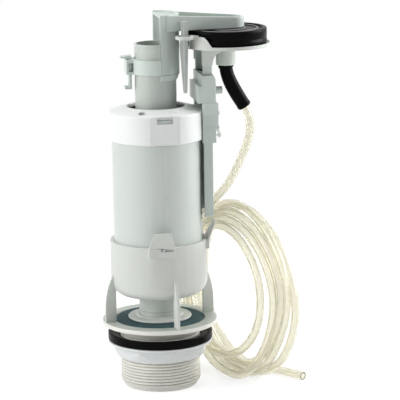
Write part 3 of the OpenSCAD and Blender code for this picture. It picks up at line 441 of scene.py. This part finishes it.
def hose_route():
    """Down from the rubber elbow, five loose turns round, and out along the floor to its open end."""
    along = np.array((cos(radians(coil_turn)), sin(radians(coil_turn))))
    out = np.array((-along[1], along[0]))
    low = hose_d / 2

    def spot(u, n, z):
        """A point u along the coil's plane and n across it, at height z."""
        x, y = np.array(coil_centre) + along * u + out * n
        return (x, y, z)

    knots = []
    for share in (0, 0.25, 0.5, 0.75, 1):
        lean = radians(elbow_bend * (1 - share))
        knots.append((hose_exit[0] + first_bend_r * (cos(lean) - cos(radians(elbow_bend))),
                      first_drift * share ** 3,
                      hose_exit[2] - first_bend_r * (sin(radians(elbow_bend)) - sin(lean))))
    knots += lead_knots
    for (a0, reach0, lane0), (a1, reach1, lane1) in zip(coil_turns, coil_turns[1:]):
        for angle in range(a0, a1, knot_angle):
            share = (1 - cos(pi * (angle - a0) / (a1 - a0))) / 2
            reach, lane = reach0 + (reach1 - reach0) * share, lane0 + (lane1 - lane0) * share
            knots.append(spot(reach * cos(radians(angle)), lane, coil_h + reach * sin(radians(angle))))
    knots += [spot(u, n, low) for u, n in [(0.0, coil_turns[-1][2])] + tail_knots]
    path, length = smooth_path([tuple(v * mm for v in k) for k in knots], hose_step * mm)
    path[:, 2] = np.maximum(path[:, 2], low * mm)
    return path, length


photo_camera()
hose_path, hose_length = hose_route()
hose_mesh = tube_mesh("air_hose", hose_path, hose_d / 2 * mm, hose_bore / 2 * mm)
hose = piece("air_hose", hose_mesh, "hose_vinyl", ["hose_lead", "hose_coil", "hose_tail"])
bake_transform(hose)


# Outlet tail
def threaded_tail():
    """The outlet: a rounded parallel thread outside, the seat flange on top and the bore through it."""
    pitch, crest, root, columns, steps_per_pitch = 2.309, 29.8, 28.35, 144, 14
    foot_chamfer, thread_top, neck_top = 0.3, 41.0, 45.8
    lead_in_r, lead_in_slope = 27.2, 0.62
    bore_r, bore_top, throat_r = 24.5, 40.0, 23.9
    flange_r, flange_low, flange_top = 43.0, 47.0, 50.5
    recess_r, recess_floor, seat_r, seat_top = 33.5, 48.5, 28.4, 49.1

    def thread_r(a, z):
        """The thread's radius at this angle and height: tapered at the foot, run out at the top."""
        wave = (cos(2 * pi * (z / pitch - a / (2 * pi))) + 1) / 2
        fade = min(1.0, max(0.0, (thread_top - z) / pitch))
        r = crest - (crest - root) * (1 - wave) ** 3 * fade
        return min(r, lead_in_r + (z - foot_chamfer) * lead_in_slope)

    # Radius and height of each row, up the outside and down the inside; None stands for the thread's radius
    rows = [(bore_r, foot_chamfer), (bore_r + foot_chamfer, 0.0), (lead_in_r - 0.2, 0.0)]
    steps = int(thread_top / pitch * steps_per_pitch)
    rows += [(None, foot_chamfer + (thread_top - foot_chamfer) * i / steps) for i in range(steps + 1)]
    rows += [(crest, thread_top + 0.3), (crest, neck_top), (crest + 0.3, neck_top + 0.8),
             (crest + 1.0, flange_low), (flange_r - 0.8, flange_low), (flange_r - 0.2, flange_low + 0.25),
             (flange_r, flange_low + 0.9), (flange_r, flange_top - 0.8), (flange_r - 0.2, flange_top - 0.3),
             (flange_r - 0.7, flange_top), (recess_r + 0.6, flange_top), (recess_r + 0.2, flange_top - 0.2),
             (recess_r, flange_top - 0.6), (recess_r, recess_floor)]
    rows += [(seat_r, recess_floor), (seat_r - 0.2, seat_top - 0.2), (seat_r - 0.6, seat_top),
             (throat_r + 0.6, seat_top), (throat_r + 0.2, seat_top - 0.2), (throat_r, seat_top - 0.6),
             (throat_r, bore_top), (bore_r, bore_top)]
    points = []
    for r, z in rows:
        for k in range(columns):
            a = 2 * pi * k / columns
            reach = thread_r(a, z) if r is None else r
            points.append((reach * cos(a) * mm, reach * sin(a) * mm, z * mm))
    mesh = mesh_of("threaded_tail", points, ring_faces(len(rows), columns, closed=True))
    made = piece("threaded_tail", mesh, "tail_plastic", ["outlet_tail"], "base")
    # Painted shade: the flange's upward faces and the bore take the darker tone of the same plastic
    made.data.materials.append(finishes["flange_painted_shade"])
    for face in made.data.polygons:
        on_top = face.center.z > (neck_top + 0.4) * mm and face.normal.z > 0.7
        in_bore = face.center.xy.length < (bore_r + 0.1) * mm
        if on_top or in_bore:
            face.material_index = 1


threaded_tail()

# Pieces made from their own solids, each with the width of the rounding at its edges
for node, edge in (("leg_cage", 0.35), ("sealing_washer", 0.8), ("canister", 0.5), ("delay_float", 0.5),
                   ("seal_plate", 0.4), ("flush_seal", 0.3), ("seal_retainer", 0.3), ("clamp_key", 0.3),
                   ("rail_bracket", 0.35), ("clamp_screw", 0.3), ("rail_catch", 0.25), ("catch_pin", 0.2),
                   ("rail_bar", 0.4)):
    dressed(node, edge)
dressed("back_nut", 0.5, crisp=14)
dressed("canister_cap", 0.4, crisp=12)
dressed("overflow_tube", 0.3, finish="tube_plastic")
dressed("lift_arm", 0.35, join=False)
dressed("guide_rod", 0.25, finish="rod_plastic")
dressed("bellows_tray", 0.3, slot="cage_plastic")


# Bellows
def rubber_bellows():
    """The bellows: a low rubber drum, a fold line round its straight wall and two rings on its top."""
    r, z0, z1, columns, weld = 30.5, 255.3, 266.7, 96, 1e-6
    low, middle = z1 - 1.1, 6.0
    # Radius and height of each row, from the middle of the underside out, up the wall and in over the top
    profile = [(0, z0), (r - 1.6, z0), (r - 0.6, z0 + 0.2), (r - 0.1, z0 + 0.8), (r, z0 + 1.6),
               (r, z0 + 3.9), (r - 0.35, z0 + 4.3), (r - 0.35, z0 + 4.7), (r, z0 + 5.1),
               (r, z1 - 1.2), (r - 0.1, z1 - 0.5), (r - 0.5, z1 - 0.1), (r - 1.1, z1),
               (r - 2.4, z1), (r - 3.0, z1 - 0.3), (r - 3.3, low)]
    for ring in bellows_rings:
        profile += [(ring + 0.9, low), (ring + 0.5, low + 0.25), (ring + 0.3, z1 - 0.3), (ring, z1 - 0.15),
                    (ring - 0.3, z1 - 0.3), (ring - 0.5, low + 0.25), (ring - 0.9, low)]
    profile += [(middle, low), (0, low)]
    points = []
    for reach, z in profile:
        for k in range(columns):
            a = 2 * pi * k / columns
            points.append(((bellows_x + reach * cos(a)) * mm, reach * sin(a) * mm, z * mm))
    mesh = mesh_of("bellows_drum", points, ring_faces(len(profile), columns, closed=False))
    bm = bmesh.new()
    bm.from_mesh(mesh)
    bmesh.ops.remove_doubles(bm, verts=bm.verts, dist=weld)
    bm.to_mesh(mesh)
    bm.free()
    made = piece("bellows_drum", mesh, "black_rubber", ["bellows"], sharp=60, finish="bellows_rubber")
    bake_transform(made)


rubber_bellows()


# Elbow
def rubber_elbow():
    """The rubber elbow from the boss to the hose: a lip, a bend that swells a little and a rolled end."""
    columns, bore, steps = 40, 3.15, 25
    # x and z of the ends of the bend, and of the two points between them that pull it round
    pulls = ((bellows_x, 238.7), (52.6, 229.5), (58.6, 219.5), (hose_exit[0], hose_exit[2]))
    held = [np.array(pull) for pull in pulls]
    # Shares of the way along the bend, and the outer radius at each
    widths = ([0.0, 0.02, 0.05, 0.065, 0.08, 0.25, 0.5, 0.75, 0.93, 0.96, 0.985, 1.0],
              [5.2, 5.7, 5.7, 5.5, 4.9, 4.95, 5.2, 5.25, 5.1, 5.3, 5.25, 4.7])
    outside = []
    for t in sorted(set(np.linspace(0, 1, steps)) | set(widths[0])):
        one, two = held[0] + (held[1] - held[0]) * t, held[1] + (held[2] - held[1]) * t
        three = held[2] + (held[3] - held[2]) * t
        four, five = one + (two - one) * t, two + (three - two) * t
        head = five - four
        outside.append((four + head * t, math.atan2(head[0], -head[1]), float(np.interp(t, *widths))))
    loops = outside + [(spot, lean, bore) for spot, lean, _ in reversed(outside)]
    points = []
    for (x, z), lean, reach in loops:
        for k in range(columns):
            a = 2 * pi * k / columns
            across = reach * cos(a)
            points.append(((x + across * cos(lean)) * mm, reach * sin(a) * mm,
                           (z + across * sin(lean)) * mm))
    mesh = mesh_of("rubber_elbow", points, ring_faces(len(loops), columns, closed=True))
    piece("rubber_elbow", mesh, "black_rubber", ["hose_sleeve"], "tray", sharp=50)


rubber_elbow()


# Floor and light
def background_rays(f):
    """1 for the rays that find a white background: from the camera, off gloss and through clear walls."""
    rays = f.node("ShaderNodeLightPath", out=("Is Camera Ray", "Is Glossy Ray", "Is Transmission Ray"))
    return rays[0] + rays[1] + rays[2]


def floor_finish():
    """Plain white floor that keeps a soft shadow."""
    f = Finish("studio_floor")
    place = f.place()
    tone = f.mix(f.clouds(place, 6, 2), (0.90, 0.90, 0.90), (0.93, 0.93, 0.93))
    lit = f.node("ShaderNodeBsdfPrincipled", None,
                 {"Base Color": tone, "Roughness": 0.9, "Specular IOR Level": 0.0})
    faint = f.node("ShaderNodeBsdfDiffuse", None, {"Color": (0.40, 0.40, 0.40), "Roughness": 0.5})
    glow = f.node("ShaderNodeEmission", None, {"Color": (1, 1, 1), "Strength": 0.74})
    white = f.node("ShaderNodeEmission", None, {"Color": (1, 1, 1), "Strength": 1.0})
    x, y = f.axes(place)[:2]
    far = (x * x + y * y).above(0.40, 0.30)
    near = f.node("ShaderNodeAddShader", None, {0: faint, 1: glow})
    paper = f.node("ShaderNodeMixShader", None, {0: far, 1: near, 2: white})
    shown = f.node("ShaderNodeMixShader", None, {0: background_rays(f), 1: lit, 2: paper})
    f.node("ShaderNodeOutputMaterial", None, {"Surface": shown})
    return f.held


def studio():
    """The floor, three soft windows of light and a pale room."""
    side, front, back, drop = 4, -4, 6, 0.0003
    lamp_aim = Vector((0.02, 0, 0.13))
    floor = bpy.data.meshes.new("studio_floor")
    corners = [(-side, front, 0), (side, front, 0), (side, back, 0), (-side, back, 0)]
    floor.from_pydata(corners, [], [(0, 1, 2, 3)])
    floor.materials.append(floor_finish())
    ground = bpy.data.objects.new("studio_floor", floor)
    bpy.context.scene.collection.objects.link(ground)
    ground.location.z = -drop
    for name, spot, size, watts in (("left_window", (-1.25, -0.25, 0.60), (1.1, 0.9), 14.5),
                                    ("right_window", (1.25, 0.05, 0.60), (0.9, 0.9), 19.5),
                                    ("top_window", (0.0, 0.1, 1.5), (0.9, 0.9), 9.0)):
        data = bpy.data.lights.new(name, "AREA")
        data.shape, data.energy = "RECTANGLE", watts
        data.size, data.size_y = size
        lamp = bpy.data.objects.new(name, data)
        bpy.context.scene.collection.objects.link(lamp)
        lamp.location = spot
        lamp.rotation_euler = (lamp_aim - Vector(spot)).to_track_quat("-Z", "Y").to_euler()
    room = Finish("white_room", "worlds")
    soft = room.node("ShaderNodeBackground", None, {"Color": (0.97, 0.99, 1.0), "Strength": 0.17})
    white = room.node("ShaderNodeBackground", None, {"Color": (1, 1, 1), "Strength": 1.0})
    light = room.node("ShaderNodeMixShader", None, {0: background_rays(room), 1: soft, 2: white})
    room.node("ShaderNodeOutputWorld", None, {"Surface": light})
    bpy.context.scene.world = room.held


studio()
bpy.context.scene.view_settings.view_transform = "Standard"
